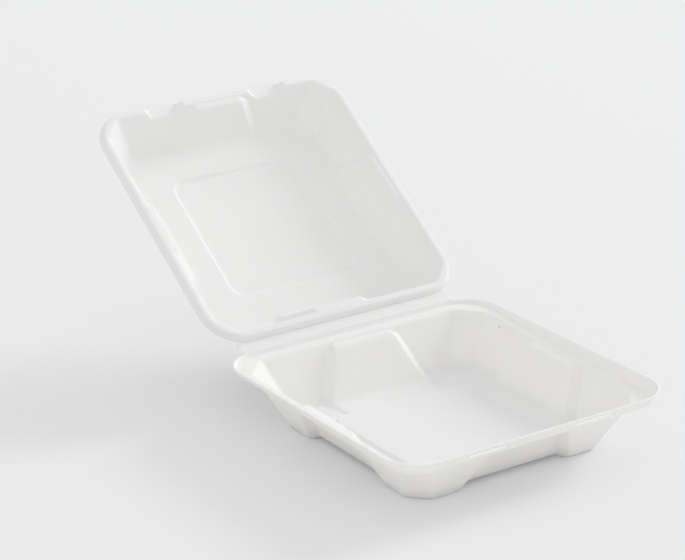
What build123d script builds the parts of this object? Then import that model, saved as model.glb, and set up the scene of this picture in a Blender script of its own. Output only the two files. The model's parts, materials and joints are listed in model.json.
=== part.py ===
from build123d import *
from math import atan2, cos, degrees, radians, sin, sqrt, tan
import os

# Square clamshell food container moulded from cane pulp:
# a base tray and a lid that fold together along a pressed crease.
# X runs along the crease, the front with its two locking slots is at -Y,
# Z is up and the feet stand on Z = 0.

# Base rim: a flared lip above the ledge that the closed lid sits on
rim_width = 230.5  # outside, at the front edge
rim_corner_radius = 28.0
rim_front_height = 45.6
rim_back_height = 44.1
lip_front_depth = 8.6  # rim edge down to the ledge
lip_back_depth = 2.9
lip_flare_angle = 30.0  # degrees from upright

# Base walls, feet and floor
base_wall = 1.0  # thickness of the pulp
foot_inset = 33.25  # rim edge in to the foot of the wall
wall_top_inset = 11.75  # rim edge in to the top of the wall
facet_leg_top = 17.0  # corner facet, measured along each wall
facet_leg_foot = 13.0
facet_edge_radius = 6.0
foot_edge_radius = 3.5
foot_height = 4.0  # floor above the table between the feet
floor_square_width = 118.0
floor_square_radius = 14.0
arch_width = 80.0  # raised floor between two feet
floor_step_angle = 45.0  # degrees from upright

# Sunk panel in the middle of each base wall, widths at the middle of its sloping sides
panel_depth = 5.4
panel_top_width = 53.0
panel_foot_width = 90.0
panel_side_run = 9.0
panel_top_run = 5.0
panel_top_gap = 1.5  # below the ledge
panel_edge_radius = 4.0
panel_corner_radius = 5.0

# Two locks: slots in the front lip, tabs in the front of the lid
lock_spacing = 91.0
slot_width = 32.5
slot_height = 1.7
slot_drop = 4.5  # rim edge down to the middle of the slot
tab_width = 22.0
tab_side_angle = 45.0  # degrees from upright
tab_reach = 5.0  # tongue past the lid's rim
tab_side_reach = 1.2  # sides of the trough past the lid's rim
tab_tip_radius = 6.0

# Crease between base and lid
crease_setback = 1.05  # behind the rim
crease_rise = 1.0  # above the back of the rim
crease_length = 186.0
crease_gap = 0.3  # between the two strips
crease_sink = 0.1  # upper faces of the strips below the axis
lid_open_angle = 145.6  # degrees, 0 is closed and 180 is laid flat

# Lid
lid_wall = 0.5
lid_crest_width = 214.4
lid_crest_radius = 28.0
lid_crest_flat = 4.7
lid_crest_rise = 3.4  # crest beyond the crease, on the open side
lid_lip_height = 5.0
lid_lip_run = 2.2
lid_depth = 30.0  # crest to ceiling
lid_draft_run = 16.5
lid_facet_leg_rim = 15.0
lid_facet_leg_ceiling = 13.0
lid_facet_edge_radius = 5.0
lid_ceiling_radius = 4.0
lid_panel_depth = 4.0
lid_panel_rim_width = 46.0
lid_panel_ceiling_width = 72.0
lid_panel_side_run = 8.0
lid_panel_top_run = 4.5
lid_panel_top_gap = 1.5  # below the crest
lid_panel_edge_radius = 3.0
lid_panel_corner_radius = 4.0
crown_width = 113.0  # raised square on the top of the lid
crown_radius = 12.0
crown_height = 2.0
crown_step_angle = 45.0  # degrees from upright

overrun = 12.0  # forms and cuts run past their faces by this much

# Places worked out from the sizes above
rim_half = rim_width / 2
foot_half = rim_half - foot_inset
wall_top_half = rim_half - wall_top_inset
rim_height = (rim_front_height + rim_back_height) / 2
rim_slope = (rim_back_height - rim_front_height) / rim_width
ledge_front_height = rim_front_height - lip_front_depth
ledge_back_height = rim_back_height - lip_back_depth
ledge_height = (ledge_front_height + ledge_back_height) / 2
ledge_slope = (ledge_back_height - ledge_front_height) / rim_width
lip_flare = tan(radians(lip_flare_angle))
rim_back_half = rim_half - (rim_front_height - rim_back_height) * lip_flare
crease_y = rim_half + crease_setback
crease_z = rim_back_height + crease_rise
lid_crest_half = lid_crest_width / 2
lid_lip_half = lid_crest_half + lid_lip_run
lid_lip_angle = degrees(atan2(lid_lip_run, lid_lip_height))
lid_mouth_half = lid_crest_half - lid_crest_flat
lid_ceiling_half = lid_mouth_half - lid_draft_run
lid_lip_level = lid_depth - lid_lip_height

base_panel = dict(
    depth=panel_depth, top_width=panel_top_width, foot_width=panel_foot_width, side_run=panel_side_run,
    top_run=panel_top_run, edge_radius=panel_edge_radius, corner_radius=panel_corner_radius,
)
lid_panel = dict(
    depth=lid_panel_depth, top_width=lid_panel_rim_width, foot_width=lid_panel_ceiling_width,
    side_run=lid_panel_side_run, top_run=lid_panel_top_run, edge_radius=lid_panel_edge_radius,
    corner_radius=lid_panel_corner_radius,
)


def trim(block, *planes):
    """The part of a block that lies behind every plane."""
    for plane in planes:
        block = split(block, plane, Keep.BOTTOM)
    return block


def leaning_plane(reach, rise, run, turn):
    """Plane facing outwards at a turn about Z, out by reach at the foot and by run more at a height of rise."""
    across, along = cos(radians(turn)), sin(radians(turn))
    return Plane((reach * across, reach * along, 0), z_dir=(rise * across, rise * along, -run))


def drafted_well(foot, foot_leg, top, top_leg, height, top_rise, shift, edge_radius, foot_radius):
    """Block that fills a square tray with corner facets, its sides and foot moved inwards by shift."""
    foot_reach = (2 * foot - foot_leg) / sqrt(2)
    top_reach = (2 * top - top_leg) / sqrt(2)
    slab_width = 2 * (foot + (top - foot) * (height + top_rise) / height) + overrun
    slab = Pos(0, 0, shift) * extrude(Rectangle(slab_width, slab_width), height + top_rise - shift)
    sides = []
    for turn in range(0, 360, 90):
        sides.append(leaning_plane(foot, height, top - foot, turn))
        sides.append(leaning_plane(foot_reach, height, top_reach - foot_reach, turn + 45))
    well = trim(slab, *[side.offset(-shift) for side in sides])
    levels = well.faces().sort_by(Axis.Z)
    well = fillet(well.edges() - levels[0].edges() - levels[-1].edges(), edge_radius - shift)
    return fillet(well.faces().sort_by(Axis.Z)[0].edges(), foot_radius - shift)


def wall_panel(foot, wall_slope, panel_height, panel, shift):
    """Block that sinks a panel into the front wall of a tray, moved inwards by shift.

    It is shaped lying down, with Y up the wall and Z into it, and then set against the wall.
    """
    wall_height = panel_height * sqrt(1 + wall_slope**2)
    side_slope = (panel["foot_width"] - panel["top_width"]) / 2 / wall_height
    sink_slope = panel["side_run"] / panel["depth"]
    foot_half_width = (panel["foot_width"] + panel["side_run"]) / 2
    sides = [Plane((side * foot_half_width, 0, 0), z_dir=(side, side_slope, sink_slope)) for side in (-1, 1)]
    top = Plane((0, wall_height, 0), z_dir=(0, panel["depth"], panel["top_run"]))
    slab = Rectangle(2 * panel["foot_width"], 2 * (wall_height + overrun))
    block = trim(Pos(0, 0, -panel["depth"]) * extrude(slab, 2 * panel["depth"]), top, *sides)
    levels = block.faces().sort_by(Axis.Z)
    slants = block.edges() - levels[0].edges() - levels[-1].edges()
    block = fillet(slants.sort_by(Axis.Y)[-2:], panel["corner_radius"])
    block = fillet(block.faces().sort_by(Axis.Z)[-1].edges().sort_by(Axis.Y)[1:], panel["edge_radius"])
    wall = Plane((0, -foot, 0), x_dir=(-1, 0, 0), z_dir=(0, 1, wall_slope))
    return wall * Pos(0, 0, shift) * block


def floor_relief(shift):
    """Raised middle of the base's floor, a rounded square with an arm to each wall panel."""
    run = foot_height * tan(radians(floor_step_angle))
    square_width = floor_square_width + 2 * run
    square = RectangleRounded(square_width, square_width, floor_square_radius + run)
    arm = Rectangle(arch_width + 2 * run, rim_width)
    relief = extrude(square, foot_height, taper=floor_step_angle)
    for turn in (0, 90):
        relief += extrude(Rot(0, 0, turn) * arm, foot_height, taper=floor_step_angle)
    return Pos(0, 0, shift) * relief


def base_form(shift):
    """Space above the base's lower face, moved inwards by shift."""
    wall_slope = (wall_top_half - foot_half) / ledge_height
    form = drafted_well(
        foot_half, facet_leg_foot, wall_top_half, facet_leg_top, ledge_height, overrun, shift,
        facet_edge_radius, foot_edge_radius,
    )
    lip_low = ledge_front_height - overrun
    lip_inset = (rim_front_height - lip_low) * lip_flare + shift / cos(radians(lip_flare_angle))
    lip_width = rim_width - 2 * lip_inset
    lip_outline = Pos(0, 0, lip_low) * RectangleRounded(lip_width, lip_width, rim_corner_radius - lip_inset)
    lip = extrude(lip_outline, rim_front_height + overrun - lip_low, taper=-lip_flare_angle)
    ledge = Plane(origin=(0, 0, ledge_height - base_wall + shift), z_dir=(0, -ledge_slope, 1))
    form += split(lip, ledge, Keep.TOP)
    levels = (ledge_front_height, ledge_height, ledge_back_height, ledge_height)
    for turn, level in zip(range(0, 360, 90), levels):
        form -= Rot(0, 0, turn) * wall_panel(foot_half, wall_slope, level - panel_top_gap, base_panel, shift)
    return form - floor_relief(shift)


def base_strip():
    """Flange along the back of the rim, up to the crease."""
    profile = [
        (rim_back_half - overrun, rim_back_height),
        (rim_back_half, rim_back_height),
        (crease_y - crease_gap / 2, crease_z - crease_sink),
    ]
    under = [(y, z - base_wall) for y, z in reversed(profile)]
    face = Plane.YZ * make_face(Polyline(*profile, *under, close=True))
    return extrude(face, crease_length / 2, both=True)


def make_base():
    """Base tray, open at the top."""
    inside = base_form(base_wall)
    rim = Plane(origin=(0, 0, rim_height), z_dir=(0, -rim_slope, 1))
    base = split(base_form(0) - inside, rim, Keep.BOTTOM)
    base += base_strip() - inside
    slot = extrude(SlotOverall(slot_width, slot_height), overrun, both=True)
    for side in (-1, 1):
        base -= Pos(side * lock_spacing / 2, -rim_half, rim_front_height - slot_drop) * Rot(90, 0, 0) * slot
    return base


def lid_form(shift, top_rise):
    """Space inside the lid, laid ceiling down, its faces moved inwards by shift."""
    wall_slope = lid_draft_run / lid_depth
    form = drafted_well(
        lid_ceiling_half, lid_facet_leg_ceiling, lid_mouth_half, lid_facet_leg_rim,
        lid_depth, top_rise, shift, lid_facet_edge_radius, lid_ceiling_radius,
    )
    panel = wall_panel(lid_ceiling_half, wall_slope, lid_depth - lid_panel_top_gap, lid_panel, shift)
    for turn in (0, 90, 180, 270):
        form -= Rot(0, 0, turn) * panel
    crown_outline = RectangleRounded(crown_width, crown_width, crown_radius)
    crown = extrude(crown_outline, crown_height, taper=crown_step_angle)
    return form + Pos(0, 0, shift) * Rot(180, 0, 0) * crown


def lid_rim(out, under):
    """Solid block of the lid's rolled rim, its sides moved out by out and its top down by under."""
    reach = out / cos(radians(lid_lip_angle))
    width = 2 * (lid_lip_half + reach)
    outline = RectangleRounded(width, width, lid_crest_radius + lid_lip_run + reach)
    return Pos(0, 0, lid_lip_level) * extrude(outline, lid_lip_height - under, taper=lid_lip_angle)


def tab_channel(place, grow, top_rise):
    """Trough across the front rim for one tab, its bottom and sides moved outwards by grow."""
    side_slope = tan(radians(tab_side_angle))
    side_grow = grow * (1 / cos(radians(tab_side_angle)) - side_slope)
    low_half = tab_width / 2 + side_grow
    low = lid_lip_level - grow
    high = lid_depth + top_rise
    high_half = low_half + (high - low) * side_slope
    corners = [(-low_half, low), (low_half, low), (high_half, high), (-high_half, high)]
    trough = Plane.XZ * make_face(Polyline(*corners, close=True))
    run = lid_lip_half + tab_reach - lid_ceiling_half
    return Pos(place, lid_ceiling_half, 0) * extrude(trough, -run - top_rise)


def lid_tab(place):
    """Trough and tongue of one tab, filled up to the lid's crest."""
    sides = Pos(0, 0, -lid_wall) * lid_rim(tab_side_reach, -lid_wall)
    tip = lid_lip_half + tab_reach
    outline = RectangleRounded(tab_width, 2 * (tip - lid_ceiling_half), tab_tip_radius)
    tongue = Pos(place, lid_ceiling_half, lid_lip_level) * extrude(outline, -lid_wall)
    return (tab_channel(place, lid_wall, 0) & sides) + tongue


def lid_strip():
    """Flange from the crease to the edge of the lid's rim, with the crease at the origin."""
    lip_y = crease_y - lid_lip_half
    lip_z = lid_crest_rise - lid_lip_height + lid_wall
    profile = [(crease_gap / 2, -crease_sink), (lip_y, lip_z), (lip_y + overrun, lip_z)]
    under = [(y, z - lid_wall) for y, z in reversed(profile)]
    face = Plane.YZ * make_face(Polyline(*profile, *under, close=True))
    inside_width = 2 * lid_lip_half - lid_wall
    inside_radius = lid_crest_radius + lid_lip_run - lid_wall / 2
    rim_inside = RectangleRounded(inside_width, inside_width, inside_radius)
    keep_out = Pos(0, crease_y, 0) * extrude(rim_inside, overrun, both=True)
    return extrude(face, crease_length / 2, both=True) - keep_out


def make_lid():
    """Lid laid flat behind the base, open side up, with the crease at the origin."""
    lid = lid_rim(0, 0) - lid_rim(-lid_wall, lid_wall)
    lid += lid_form(-lid_wall, 0)
    for side in (-1, 1):
        lid += lid_tab(side * lock_spacing / 2)
    lid -= lid_form(0, overrun)
    for side in (-1, 1):
        lid -= tab_channel(side * lock_spacing / 2, 0, overrun)
    return Pos(0, crease_y, lid_crest_rise - lid_depth) * lid + lid_strip()


base = make_base()
lid = Pos(0, crease_y, crease_z) * Rot(180 - lid_open_angle, 0, 0) * make_lid()

# The origin lies on the table, under the middle of the open container
whole = Compound([base, lid]).bounding_box()
middle = Pos(0, -(whole.min.Y + whole.max.Y) / 2, 0)

os.makedirs("parts", exist_ok=True)
for name, solid in (("base_tray", base), ("lid", lid)):
    export_step(middle * solid, f"parts/{name}.step")
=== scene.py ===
import json
from math import cos, pi, radians, sin, sqrt, tan

import bmesh
import bpy
from mathutils import Matrix, Vector
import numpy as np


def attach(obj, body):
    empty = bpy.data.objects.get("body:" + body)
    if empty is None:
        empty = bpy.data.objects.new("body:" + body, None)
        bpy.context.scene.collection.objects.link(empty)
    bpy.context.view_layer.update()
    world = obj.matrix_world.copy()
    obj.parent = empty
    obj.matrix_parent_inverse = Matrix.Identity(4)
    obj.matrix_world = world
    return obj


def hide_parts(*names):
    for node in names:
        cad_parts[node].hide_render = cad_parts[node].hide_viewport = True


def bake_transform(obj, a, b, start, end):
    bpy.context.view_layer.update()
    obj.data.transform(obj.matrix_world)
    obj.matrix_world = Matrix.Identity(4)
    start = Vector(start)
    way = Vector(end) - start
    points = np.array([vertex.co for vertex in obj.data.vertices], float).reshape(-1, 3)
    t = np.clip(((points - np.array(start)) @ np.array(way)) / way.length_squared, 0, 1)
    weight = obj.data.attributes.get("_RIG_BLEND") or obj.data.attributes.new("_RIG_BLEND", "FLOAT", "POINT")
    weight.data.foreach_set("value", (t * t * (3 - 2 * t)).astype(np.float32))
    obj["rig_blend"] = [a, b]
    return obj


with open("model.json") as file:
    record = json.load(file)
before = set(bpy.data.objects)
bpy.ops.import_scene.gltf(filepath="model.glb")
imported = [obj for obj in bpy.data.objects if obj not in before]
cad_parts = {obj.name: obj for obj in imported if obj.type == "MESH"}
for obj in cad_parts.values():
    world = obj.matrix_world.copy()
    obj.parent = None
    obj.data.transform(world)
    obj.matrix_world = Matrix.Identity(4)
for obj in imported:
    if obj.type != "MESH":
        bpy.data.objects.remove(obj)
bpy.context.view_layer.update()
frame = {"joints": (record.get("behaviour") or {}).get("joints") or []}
mm = 0.001

fold = frame["joints"][0]
foldY = fold["pos_m"][1] / mm  # the crease, in mm
foldZ = fold["pos_m"][2] / mm
openAngle = radians(-fold["range_deg"][0])  # lid above lying flat
creaseReach = 116.3  # from the crease to the middle of either half, in mm
print("frame loaded, crease at", round(foldY, 2), round(foldZ, 2))

outwards = [(0, -1), (1, 0), (0, 1), (-1, 0)]  # front, right, back, left
alongs = [(1, 0), (0, 1), (-1, 0), (0, -1)]


# Straight slope with its two ends rounded off
def ramp(t, soft=0.2):
    if t < soft:
        return t * t / (2 * soft * (1 - soft))
    if t > 1 - soft:
        return 1 - (1 - t)**2 / (2 * soft * (1 - soft))
    return (t - soft / 2) / (1 - soft)


# One entry for each column of a tray: side, hand (0 in a corner), span of the half side, place in it
def trayColumns(counts, cornerCount):
    half = [(seg, step / count) for seg, count in enumerate(counts) for step in range(count)]
    half.append((len(counts) - 1, 1.0))
    columns = []
    for side in range(4):
        columns += [(side, -1, seg, part) for seg, part in reversed(half)]
        columns += [(side, 1, seg, part) for seg, part in half[1:]]
        columns += [(side, 0, 0, step / (cornerCount + 1)) for step in range(1, cornerCount + 1)]
    return columns


def roundCorner(half, radius, turn):
    return half - radius + radius * cos(turn * pi / 2), half - radius + radius * sin(turn * pi / 2)


# Corner facet with its two edges rounded, turn runs from 0 to 1 round the corner
def facetCorner(half, leg, radius, turn):
    roundEnd = 0.3  # turn at which the rounded edge ends and the flat begins
    reach = radius * tan(pi / 8)
    if turn > 0.5:
        out, along = facetCorner(half, leg, radius, 1 - turn)
        return along, out
    out, along = half - radius, half - leg - reach
    if turn < roundEnd:
        angle = turn / roundEnd * pi / 4
        return out + radius * cos(angle), along + radius * sin(angle)
    startOut, startAlong = out + radius * cos(pi / 4), along + radius * sin(pi / 4)
    middle = half - leg / 2
    share = (turn - roundEnd) / (0.5 - roundEnd)
    return startOut + (middle - startOut) * share, startAlong + (middle - startAlong) * share


# Place of a column on one loop of a tray, knots are the ends of the half side's spans
def loopPoint(column, half, knots, corner):
    side, hand, seg, part = column
    if hand == 0:
        out, along = corner(half, part)
    else:
        out = half
        along = hand * (knots[seg] + (knots[seg + 1] - knots[seg]) * part)
    ox, oy = outwards[side]
    ax, ay = alongs[side]
    return ox * out + ax * along, oy * out + ay * along


# Loop with round corners
def onRound(column, half, knots, radius):
    return loopPoint(column, half, knots, lambda h, turn: roundCorner(h, radius, turn))


# Depth and height of a point of the open lid, out from the crease and up from the lid's own plane
def onLid(out, up):
    return (foldY + out * cos(openAngle) - up * sin(openAngle),
            foldZ + out * sin(openAngle) + up * cos(openAngle))


# A column's path from its corner points, each corner rounded over its soft length in so many bends,
# after so many steps along the straight stretch before it
def softPath(points, softs, bends, steps):
    softMost = 0.46  # share of a stretch that a rounded corner may take
    path = [points[0]]
    last = points[0]
    for spot in range(1, len(points)):
        corner = points[spot]
        back = points[spot - 1] - corner
        if spot == len(points) - 1 or not bends[spot]:
            path += [last.lerp(corner, n / steps[spot]) for n in range(1, steps[spot] + 1)]
            last = corner
            continue
        ahead = points[spot + 1] - corner
        soft = min(softs[spot], softMost * back.length, softMost * ahead.length)
        start = corner + back.normalized() * soft
        end = corner + ahead.normalized() * soft
        path += [last.lerp(start, n / steps[spot]) for n in range(1, steps[spot] + 1)]
        for n in range(1, bends[spot] + 1):
            t = n / bends[spot]
            path.append(start.lerp(corner, t).lerp(corner.lerp(end, t), t))
        last = end
    return path


# A sheet drawn out loop by loop from its cut edge to the middle, which is then closed.
# Extra is how much thicker than the sheet the pulp is at each point of the paths
def drawSheet(name, paths, extra):
    bpy.ops.object.select_all(action="DESELECT")
    bpy.ops.mesh.primitive_circle_add(vertices=len(paths), radius=paths[0][0].length * mm)
    sheet = bpy.context.object
    sheet.name = sheet.data.name = name
    bpy.ops.object.mode_set(mode="EDIT")
    bpy.ops.mesh.select_mode(type="EDGE")
    bpy.ops.mesh.select_all(action="SELECT")
    shell = bmesh.from_edit_mesh(sheet.data)
    shell.verts.layers.float.new("extra")
    columnLayer = shell.verts.layers.int.new("column")
    for spot, vert in enumerate(shell.verts):
        vert[columnLayer] = spot
        vert.co = paths[spot][0] * mm
    for ring in range(1, len(paths[0])):
        bpy.ops.mesh.extrude_edges_move()
        shell = bmesh.from_edit_mesh(sheet.data)
        columnLayer = shell.verts.layers.int["column"]
        extraLayer = shell.verts.layers.float["extra"]
        for vert in shell.verts:
            if vert.select:
                vert.co = paths[vert[columnLayer]][ring] * mm
                vert[extraLayer] = extra[vert[columnLayer]][ring]
    bpy.ops.mesh.edge_face_add()
    bpy.ops.object.mode_set(mode="OBJECT")
    return sheet


def selectFaces(sheet, wanted):
    bpy.ops.object.mode_set(mode="EDIT")
    bpy.ops.mesh.select_mode(type="FACE")
    bpy.ops.mesh.select_all(action="DESELECT")
    shell = bmesh.from_edit_mesh(sheet.data)
    for face in shell.faces:
        if wanted(face.calc_center_median() / mm):
            face.select_set(True)
    bmesh.update_edit_mesh(sheet.data)


# Gives a drawn sheet its thickness on the far side of its drawn face, and soft cut edges
def thickenSheet(sheet, facing, p):
    bpy.ops.object.mode_set(mode="EDIT")
    bpy.ops.mesh.select_all(action="SELECT")
    bpy.ops.mesh.normals_make_consistent(inside=False)
    shell = bmesh.from_edit_mesh(sheet.data)
    widest = max(shell.faces, key=lambda face: face.calc_area())
    widest.normal_update()
    if widest.normal.dot(facing) < 0:
        bpy.ops.mesh.flip_normals()
    bpy.ops.object.mode_set(mode="OBJECT")
    wall = sheet.modifiers.new("wall", "SOLIDIFY")
    wall.thickness = p["thickness"] * mm
    wall.offset = -1
    wall.use_even_offset = True
    drawn = len(sheet.data.vertices)
    bpy.ops.object.modifier_apply(modifier="wall")
    if "extra" in sheet.data.attributes:
        extra = sheet.data.attributes["extra"].data
        for vert in sheet.data.vertices[drawn:]:
            vert.co -= facing * extra[vert.index].value * mm
    soft = sheet.modifiers.new("cutEdge", "BEVEL")
    soft.width = p["edgeSoft"] * mm
    soft.segments = 2
    soft.limit_method = "ANGLE"
    soft.angle_limit = radians(60)  # only the cut edges are as sharp as this
    bpy.ops.object.modifier_apply(modifier="cutEdge")
    bpy.ops.object.shade_smooth_by_angle(angle=radians(p["smoothAngle"]))


# Base tray, sizes in mm about the middle of the tray, drawn along its lower face.
# Softs, bends and steps go with a path's corner points, from the cut edge to the middle of the floor
tray = {
    "rimHalf": 115.23, "rimRadius": 28, "rimMiddle": 44.85, "rimFall": 0.00651, "rimFront": 45.6,
    "flare": 0.5774, "cutDrop": 0.5, "lipFront": 8.6, "ledgeMiddle": 39.1, "ledgeRise": 0.01822,
    "slotRows": (0.372, 0.674), "slotMiddle": 45.5, "slotHalf": 16.25, "slotFrom": 105,
    "footHalf": 82, "wallSlope": 0.5499, "facetFoot": 13, "facetTop": 18.5, "facetEdge": 5.5,
    "panelGap": 0.9, "plainGap": 4.5, "panelDrop": 1.4, "panelInset": 6.16,
    "topShare": 0.96, "lowShare": 0.85, "archHeight": 2.8, "archSteepness": 1.6, "floorHeight": 4.4,
    "stepHalf": 57.5, "stepRadius": 14, "floorHalf": 55, "floorRadius": 11.5,
    "middleHalf": 30, "middleRadius": 8, "thickness": 1.0, "edgeSoft": 0.32, "smoothAngle": 50,
    "footFill": 0.7, "fillFade": 4, "filletRise": 2.4, "filletReach": 14,
    "counts": (10, 10, 2, 12, 6), "cornerCount": 24,
    "rimKnots": (0, 22, 29, 29.25, 61.75, 87.25), "wallKnots": (0, 22, 31, 33, 62, 90.0),
    "footKnots": (0, 39.5, 48.5, 51, 62, 66.5), "stepKnots": (0, 38, 42, 42.6, 43.1, 43.5),
    "floorKnots": (0, 38, 42, 42.6, 43.1, 43.5), "middleKnots": (0, 15, 18, 18.6, 20.6, 22),
    "softs": (0, 0, 0, 1.6, 1.9, 1.2, 2.6, 2.1, 1.0, 1.0, 0),
    "bends": (0, 0, 0, 5, 5, 4, 5, 6, 4, 4, 0),
    "steps": (0, 2, 2, 2, 2, 1, 3, 8, 5, 1, 5),
    "footSpot": 7, "stepSpot": 8,
}


def makeTray(p):
    middleY = foldY - creaseReach
    bends, steps = p["bends"], p["steps"]
    footSpot, stepSpot = p["footSpot"], p["stepSpot"]
    footRing = sum(bends[:footSpot]) + sum(steps[:footSpot + 1]) + bends[footSpot] // 2
    stepRing = sum(bends[:stepSpot + 1]) + sum(steps[:stepSpot + 1])

    def onRim(column, height):
        inset = (p["rimFront"] - height) * p["flare"]
        return onRound(column, p["rimHalf"] - inset, p["rimKnots"], p["rimRadius"] - inset)

    def onWall(column, height, inset, share):
        half = p["footHalf"] + height * p["wallSlope"] - inset
        leg = p["facetFoot"] + (p["facetTop"] - p["facetFoot"]) * share
        knots = [low + (high - low) * share for low, high in zip(p["footKnots"], p["wallKnots"])]
        knots[-1] = half + inset - leg - p["facetEdge"] * tan(pi / 8)
        return loopPoint(column, half, knots, lambda h, turn: facetCorner(h, leg, p["facetEdge"], turn))

    paths, extra = [], []
    for column in trayColumns(p["counts"], p["cornerCount"]):
        side, hand, seg, part = column
        sink = raised = 0.0  # the first span holds the panel and the arch, the second one their ends
        if hand:
            sink = (1.0, 1 - ramp(part), 0, 0, 0)[seg]
            raised = (1.0, 1 - ramp(min(1.0, part * p["archSteepness"])), 0, 0, 0)[seg]
        rimPoint = onRim(column, p["rimFront"])
        rimZ = p["rimMiddle"] - p["rimFall"] * rimPoint[1]
        ledgeZ = p["ledgeMiddle"] + p["ledgeRise"] * rimPoint[1] - p["thickness"]
        slotZ = [rimZ - (rimZ - ledgeZ - p["thickness"]) * share for share in p["slotRows"]]
        panelTop = ledgeZ - p["plainGap"] + (p["plainGap"] - p["panelGap"]) * sink
        panelLow = panelTop - p["panelDrop"]
        arch = p["archHeight"] * raised
        cutZ = rimZ - p["cutDrop"]  # the cut edge leans with the lip, so its inner side is the higher one
        points = [
            (*onRim(column, cutZ), cutZ),
            (*onRim(column, slotZ[0]), slotZ[0]),
            (*onRim(column, slotZ[1]), slotZ[1]),
            (*onRim(column, ledgeZ), ledgeZ),
            (*onWall(column, ledgeZ, 0, 1), ledgeZ),
            (*onWall(column, panelTop, 0, p["topShare"]), panelTop),
            (*onWall(column, panelLow, p["panelInset"] * sink, p["lowShare"]), panelLow),
            (*onWall(column, arch, p["panelInset"] * sink, 0), arch),
            (*onRound(column, p["stepHalf"], p["stepKnots"], p["stepRadius"]), arch),
            (*onRound(column, p["floorHalf"], p["floorKnots"], p["floorRadius"]), p["floorHeight"]),
            (*onRound(column, p["middleHalf"], p["middleKnots"], p["middleRadius"]), p["floorHeight"]),
        ]
        path = softPath([Vector((x, y + middleY, z)) for x, y, z in points], p["softs"], bends, steps)
        fill = p["footFill"] * (p["archHeight"] - arch)  # the feet are nearly full of pulp
        thicker = []
        for ring, point in enumerate(path):
            near = max(0, 1 - (point - path[footRing]).length / p["filletReach"])**2
            faded = max(0, min(1, (stepRing - ring) / p["fillFade"] + 1))
            thicker.append(p["filletRise"] * near + fill * (near if ring < footRing else faded))
        paths.append(path)
        extra.append(thicker)
    sheet = drawSheet("baseTray", paths, extra)
    slotTop, slotLow = (p["rimFront"] - share * p["lipFront"] for share in p["slotRows"])

    def inSlot(c):
        return (c.y < middleY - p["slotFrom"] and slotLow < c.z < slotTop
                and abs(abs(c.x) - p["slotMiddle"]) < p["slotHalf"])

    selectFaces(sheet, inSlot)
    bpy.ops.mesh.delete(type="FACE")
    bpy.ops.object.mode_set(mode="OBJECT")
    thickenSheet(sheet, Vector((0, 0, -1)), p)
    print("base tray", len(sheet.data.polygons), "faces")
    return sheet


# Lid, sizes in mm laid flat: along the crease, out from the middle, and up from the crease on the open
# side. The tabs are on the side away from the crease
lidShape = {
    "lipHalf": 109.4, "lipRadius": 30.2, "lipLevel": -1.6,
    "crestHalf": 107.2, "crestRadius": 28, "crestLevel": 3.4,
    "mouthHalf": 102.5, "wallSlope": 0.55, "facetMouth": 15, "facetCeiling": 13, "facetEdge": 7,
    "panelGap": 0.5, "plainGap": 4.0, "panelDrop": 0.9, "panelInset": 4.56, "ceilingLevel": -26.6,
    "crownHalf": 56.5, "crownRadius": 12, "crownLevel": -28.6, "crownRun": 2,
    "middleHalf": 28, "middleRadius": 7,
    "tabSide": 2, "tabMiddle": 45.5, "tabTip": 114.4, "tabTipRadius": 6, "tabHalf": 11,
    "thickness": 0.5, "edgeSoft": 0.16, "smoothAngle": 50,
    "counts": (8, 9, 2, 6, 16, 6, 6), "cornerCount": 24,
    "lipKnots": (0, 19, 27, 29.5, 34.5, 56.5, 61.5, 79.2),
    "ceilingKnots": (0, 32, 40, 41, 46, 60, 65, 70.9),
    "crownKnots": (0, 26, 33, 34, 37, 42, 43.5, 44.5), "middleKnots": (0, 9, 12, 12.6, 15, 19, 20, 21),
    "softs": (0, 1.3, 1.5, 1.0, 1.6, 5.0, 1.2, 1.2, 0),
    "bends": (0, 5, 5, 4, 5, 8, 4, 4, 0),
    "steps": (0, 3, 2, 1, 3, 8, 5, 1, 5),
}


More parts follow.
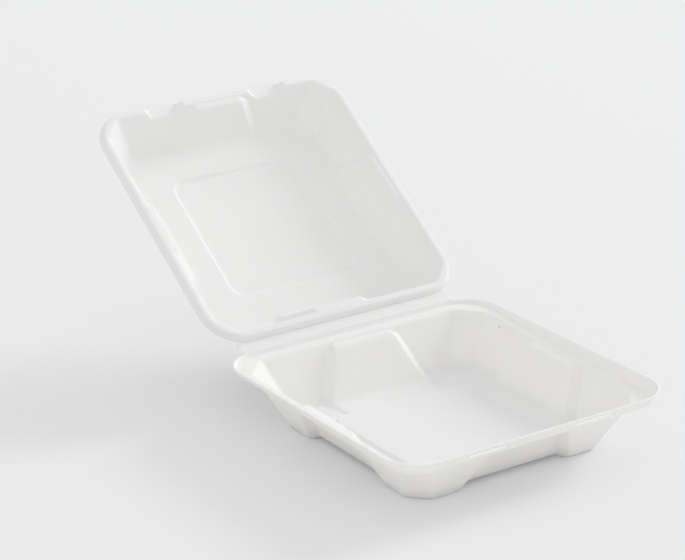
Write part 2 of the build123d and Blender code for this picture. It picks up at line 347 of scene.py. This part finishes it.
def makeLid(p):
    crownSide = p["crownHalf"] - p["crownRun"]

    def onWall(column, level, inset):
        share = (level - p["ceilingLevel"]) / (p["crestLevel"] - p["ceilingLevel"])
        half = p["mouthHalf"] + (level - p["crestLevel"]) * p["wallSlope"] - inset
        leg = p["facetCeiling"] + (p["facetMouth"] - p["facetCeiling"]) * share
        knots = [low + (high - low) * share for low, high in zip(p["ceilingKnots"], p["lipKnots"])]
        knots[-1] = half + inset - leg - p["facetEdge"] * tan(pi / 8)
        return loopPoint(column, half, knots, lambda h, turn: facetCorner(h, leg, p["facetEdge"], turn))

    paths = []
    for column in trayColumns(p["counts"], p["cornerCount"]):
        side, hand, seg, part = column
        sink = tab = 0.0
        if hand:
            sink = (1.0, 1 - ramp(part), 0, 0, 0, 0, 0)[seg]
        if hand and side == p["tabSide"]:
            tab = (0, 0, 0, part, 1.0, 1 - part, 0)[seg]
        crest = p["crestLevel"] + (p["lipLevel"] - p["crestLevel"]) * tab
        lipX, lipY = onRound(column, p["lipHalf"], p["lipKnots"], p["lipRadius"])
        if tab == 1.0:
            across = max(0, abs(abs(lipX) - p["tabMiddle"]) - p["tabHalf"] + p["tabTipRadius"])
            tip = p["tabTip"] - p["tabTipRadius"] + sqrt(max(0, p["tabTipRadius"]**2 - across**2))
            lipY = max(lipY, tip)
        panelTop = crest - p["plainGap"] + (p["plainGap"] - p["panelGap"]) * sink
        panelLow = panelTop - p["panelDrop"]
        points = [
            (lipX, lipY, p["lipLevel"]),
            (*onRound(column, p["crestHalf"], p["lipKnots"], p["crestRadius"]), crest),
            (*onWall(column, crest, 0), crest),
            (*onWall(column, panelTop, 0), panelTop),
            (*onWall(column, panelLow, p["panelInset"] * sink), panelLow),
            (*onWall(column, p["ceilingLevel"], p["panelInset"] * sink), p["ceilingLevel"]),
            (*onRound(column, p["crownHalf"], p["crownKnots"], p["crownRadius"]), p["ceilingLevel"]),
            (*onRound(column, crownSide, p["crownKnots"], p["crownRadius"] - p["crownRun"]), p["crownLevel"]),
            (*onRound(column, p["middleHalf"], p["middleKnots"], p["middleRadius"]), p["crownLevel"]),
        ]
        placed = [Vector((x, *onLid(out + creaseReach, up))) for x, out, up in points]
        paths.append(softPath(placed, p["softs"], p["bends"], p["steps"]))
    sheet = drawSheet("lidShell", paths, [[0.0] * len(path) for path in paths])
    thickenSheet(sheet, Vector((0, -sin(openAngle), cos(openAngle))), p)
    print("lid", len(sheet.data.polygons), "faces")
    return sheet


# Fold: one strip of pulp from the back of the tray's rim over the crease to the lid's lip, scored along
# two lines. Sizes in mm, the score lines and their reach in shares of the strip's width
foldStrip = {
    "length": 186, "rimBack": 114.38, "rimStraight": 87.25, "rimRadius": 28, "rimHeight": 44.0, "tuck": 1.0,
    "sink": 0.1, "lidReach": 7.5, "lidLevel": -1.4,
    "scoreDepth": 0.25, "scoreLines": (0.5, 0.72), "scoreReach": 0.08,
    "thickness": 0.55, "edgeSoft": 0.12, "smoothAngle": 40, "columns": 124, "rows": 14,
}


def makeFold(p):
    bpy.ops.object.select_all(action="DESELECT")
    bpy.ops.mesh.primitive_grid_add(x_subdivisions=p["columns"], y_subdivisions=p["rows"], size=1)
    strip = bpy.context.object
    strip.name = strip.data.name = "foldStrip"
    startZ, creaseZ = p["rimHeight"], foldZ - p["sink"]
    endY, endZ = onLid(p["lidReach"], p["lidLevel"])
    for vert in strip.data.vertices:
        x = vert.co.x * p["length"]
        across = vert.co.y + 0.5
        past = max(0, abs(x) - p["rimStraight"])  # the rim's corner curves away from the crease
        bow = p["rimRadius"] - sqrt(p["rimRadius"]**2 - past**2)
        startY = foldY - creaseReach + p["rimBack"] - bow - p["tuck"]
        if across < 0.5:
            t = across * 2
            y, z = startY + (foldY - startY) * t, startZ + (creaseZ - startZ) * t
        else:
            t = across * 2 - 1
            y, z = foldY + (endY - foldY) * t, creaseZ + (endZ - creaseZ) * t
        scored = min(abs(across - line) for line in p["scoreLines"])
        z -= p["scoreDepth"] * max(0, 1 - scored / p["scoreReach"])
        vert.co = Vector((x, y, z)) * mm
    thickenSheet(strip, Vector((0, 0, 1)), p)
    print("fold strip", len(strip.data.polygons), "faces")
    return strip


# Pressed cane pulp: matt white, cloudy in places, with fine fibres, few specks and a soft glow through
# thin walls. Noises are scale, detail, roughness and distortion, depths are in metres
pulp = {
    "colour": (0.873, 0.871, 0.865, 1), "shade": (0.8, 0.793, 0.775, 1), "speck": (0.42, 0.33, 0.22, 1),
    "clouds": (38, 3, 0.55), "fibres": (620, 4, 0.6, 1.4), "grain": (2100, 2, 0.5), "waves": (26, 1, 0.5),
    "cloudRange": (0.35, 0.75), "fibreRange": (0.62, 0.8), "shadeShare": 0.16,
    "fleckScale": 105, "fleckRange": (0.8, 1.0), "fleckReach": 0.05, "fleckShare": 0.15,
    "speckReach": (0.0004, 0.0009), "speckShare": 0.8,
    "roughRange": (0.3, 0.7), "roughness": (0.74, 0.9), "specular": 0.22,
    "waveDepth": 0.0005, "fibreDepth": 0.00012, "grainDepth": 0.00004, "bumpStrength": 0.6,
    "glowDepth": 0.001, "glowRadius": (1.0, 0.93, 0.83), "baseGlow": 0.9, "lidGlow": 0.45,
}


def pulpMaterial(name, p, glow, speckAt=None):
    material = bpy.data.materials.new(name)
    material.use_nodes = True
    nodes, links = material.node_tree.nodes, material.node_tree.links
    shader = nodes["Principled BSDF"]
    shader.inputs["Specular IOR Level"].default_value = p["specular"]
    shader.inputs["Subsurface Weight"].default_value = glow
    shader.inputs["Subsurface Radius"].default_value = p["glowRadius"]
    shader.inputs["Subsurface Scale"].default_value = p["glowDepth"]
    place = nodes.new("ShaderNodeTexCoord").outputs["Object"]

    def noise(scale, detail, roughness, distortion=0.0):
        node = nodes.new("ShaderNodeTexNoise")
        node.inputs["Scale"].default_value = scale
        node.inputs["Detail"].default_value = detail
        node.inputs["Roughness"].default_value = roughness
        node.inputs["Distortion"].default_value = distortion
        links.new(place, node.inputs["Vector"])
        return node.outputs["Fac"]

    def ranged(value, low, high, newLow, newHigh):
        node = nodes.new("ShaderNodeMapRange")
        sockets = ("From Min", "From Max", "To Min", "To Max")
        for socket, number in zip(sockets, (low, high, newLow, newHigh)):
            node.inputs[socket].default_value = number
        links.new(value, node.inputs["Value"])
        return node.outputs["Result"]

    def mixed(share, first, second):
        node = nodes.new("ShaderNodeMix")
        node.data_type = "RGBA"
        links.new(share, node.inputs["Factor"])
        for socket, colour in ((6, first), (7, second)):  # the mix node's two colour sockets
            if isinstance(colour, tuple):
                node.inputs[socket].default_value = colour
            else:
                links.new(colour, node.inputs[socket])
        return node.outputs[2]

    clouds = noise(*p["clouds"])
    fibres = noise(*p["fibres"])
    grain = noise(*p["grain"])
    colour = mixed(ranged(clouds, *p["cloudRange"], 0, p["shadeShare"]), p["colour"], p["shade"])
    colour = mixed(ranged(fibres, *p["fibreRange"], 0, p["shadeShare"]), colour, p["shade"])
    flecks = nodes.new("ShaderNodeTexVoronoi")  # single darker fibres, well apart
    flecks.inputs["Scale"].default_value = p["fleckScale"]
    links.new(place, flecks.inputs["Vector"])
    fleckSize = nodes.new("ShaderNodeSeparateColor")
    links.new(flecks.outputs["Color"], fleckSize.inputs["Color"])
    reach = ranged(fleckSize.outputs["Red"], *p["fleckRange"], 0, p["fleckReach"])
    inside = nodes.new("ShaderNodeMath")
    inside.operation = "LESS_THAN"
    links.new(flecks.outputs["Distance"], inside.inputs[0])
    links.new(reach, inside.inputs[1])
    colour = mixed(ranged(inside.outputs["Value"], 0, 1, 0, p["fleckShare"]), colour, p["speck"])
    if speckAt:
        away = nodes.new("ShaderNodeVectorMath")
        away.operation = "DISTANCE"
        links.new(place, away.inputs[0])
        away.inputs[1].default_value = speckAt
        share = ranged(away.outputs["Value"], *p["speckReach"], p["speckShare"], 0)
        colour = mixed(share, colour, p["speck"])
    links.new(colour, shader.inputs["Base Color"])
    links.new(ranged(fibres, *p["roughRange"], *p["roughness"]), shader.inputs["Roughness"])

    last = None
    waves = noise(*p["waves"])
    for height, depth in ((waves, p["waveDepth"]), (fibres, p["fibreDepth"]), (grain, p["grainDepth"])):
        bump = nodes.new("ShaderNodeBump")
        bump.inputs["Strength"].default_value = p["bumpStrength"]
        bump.inputs["Distance"].default_value = depth
        links.new(height, bump.inputs["Height"])
        if last:
            links.new(last, bump.inputs["Normal"])
        last = bump.outputs["Normal"]
    links.new(last, shader.inputs["Normal"])
    return material


baseTray = makeTray(tray)
speckPlace = (0.1007, foldY * mm - 0.0503, 0.036)  # the one dark speck, on the right inner wall
baseTray.data.materials.append(pulpMaterial("basePulp", pulp, pulp["baseGlow"], speckPlace))
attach(baseTray, "base")
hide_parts("base_tray")

lidShell = makeLid(lidShape)
lidPulp = pulpMaterial("lidPulp", pulp, pulp["lidGlow"])
lidShell.data.materials.append(lidPulp)
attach(lidShell, "lid")
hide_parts("lid")

strip = makeFold(foldStrip)
strip.data.materials.append(lidPulp)
bendReach = 0.0015  # the strip bends this far to either side of the crease
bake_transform(strip, "base", "lid", start=(0, foldY * mm - bendReach, foldZ * mm),
         end=(0, foldY * mm + bendReach * cos(openAngle), foldZ * mm + bendReach * sin(openAngle)))

# Studio: pale seamless floor, one large soft lamp low from the right, bright even surroundings
studio = {
    "floorSize": 14, "floorColour": (0.876, 0.881, 0.89, 1), "bounceColour": (0.95, 0.945, 0.94, 1),
    "floorRoughness": 0.95, "floorSpecular": 0.05, "paleShare": 0.19, "skyStrength": 0.793,
    "keyPlace": (9.05, 0.25, 4.25), "keyAim": (0, 0, 0.05), "keySize": 3.0, "keyPower": 332,
}


def makeStudio(p):
    bpy.ops.object.select_all(action="DESELECT")
    bpy.ops.mesh.primitive_plane_add(size=p["floorSize"], location=(0, 0, 0))
    floor = bpy.context.object
    floor.name = "floor"
    paint = bpy.data.materials.new("floorPaper")
    paint.use_nodes = True
    nodes, links = paint.node_tree.nodes, paint.node_tree.links
    paper = nodes["Principled BSDF"]
    paper.inputs["Roughness"].default_value = p["floorRoughness"]
    paper.inputs["Specular IOR Level"].default_value = p["floorSpecular"]
    paper.inputs["Emission Color"].default_value = p["floorColour"]
    seen = nodes.new("ShaderNodeLightPath").outputs["Is Camera Ray"]
    tone = nodes.new("ShaderNodeMix")  # to the camera the shadow on the paper is lighter
    tone.data_type = "RGBA"
    tone.inputs[6].default_value = p["bounceColour"]
    tone.inputs[7].default_value = [c * (1 - p["paleShare"]) for c in p["floorColour"][:3]] + [1]
    glow = nodes.new("ShaderNodeMath")
    glow.operation = "MULTIPLY"
    glow.inputs[1].default_value = p["paleShare"]
    links.new(seen, tone.inputs["Factor"])
    links.new(tone.outputs[2], paper.inputs["Base Color"])
    links.new(seen, glow.inputs[0])
    links.new(glow.outputs["Value"], paper.inputs["Emission Strength"])
    floor.data.materials.append(paint)
    bpy.ops.object.light_add(type="AREA", location=p["keyPlace"])
    key = bpy.context.object
    key.name = "keyLamp"
    key.data.shape = "DISK"
    key.data.size = p["keySize"]
    key.data.energy = p["keyPower"]
    key.rotation_euler = (Vector(p["keyAim"]) - key.location).to_track_quat("-Z", "Y").to_euler()
    world = bpy.context.scene.world or bpy.data.worlds.new("surroundings")
    bpy.context.scene.world = world
    world.use_nodes = True
    sky = world.node_tree.nodes["Background"]
    sky.inputs["Color"].default_value = (1, 1, 1, 1)
    sky.inputs["Strength"].default_value = p["skyStrength"]
    print("studio lit")


makeStudio(studio)

# Camera at the photograph's viewing angle
shot = {
    "place": (-1.0219, -1.4645, 0.7748), "azimuth": -34.40, "elevation": 21.10, "roll": -0.18,
    "lens": 139.4, "sensorWidth": 36, "clipEnd": 40,
}


def makeCamera(p):
    azimuth, elevation, roll = (radians(p[angle]) for angle in ("azimuth", "elevation", "roll"))
    back = Vector((sin(azimuth) * cos(elevation), -cos(azimuth) * cos(elevation), sin(elevation)))
    right = Vector((cos(azimuth), sin(azimuth), 0))
    up = back.cross(right)
    across, upright = right * cos(roll) + up * sin(roll), up * cos(roll) - right * sin(roll)
    bpy.ops.object.camera_add(location=p["place"])
    camera = bpy.context.object
    camera.rotation_euler = Matrix((across, upright, back)).transposed().to_euler()
    camera.data.sensor_width = p["sensorWidth"]
    camera.data.lens = p["lens"]
    camera.data.clip_end = p["clipEnd"]
    bpy.context.scene.camera = camera
    print("camera placed")


makeCamera(shot)
bpy.context.scene.view_settings.view_transform = "Standard"
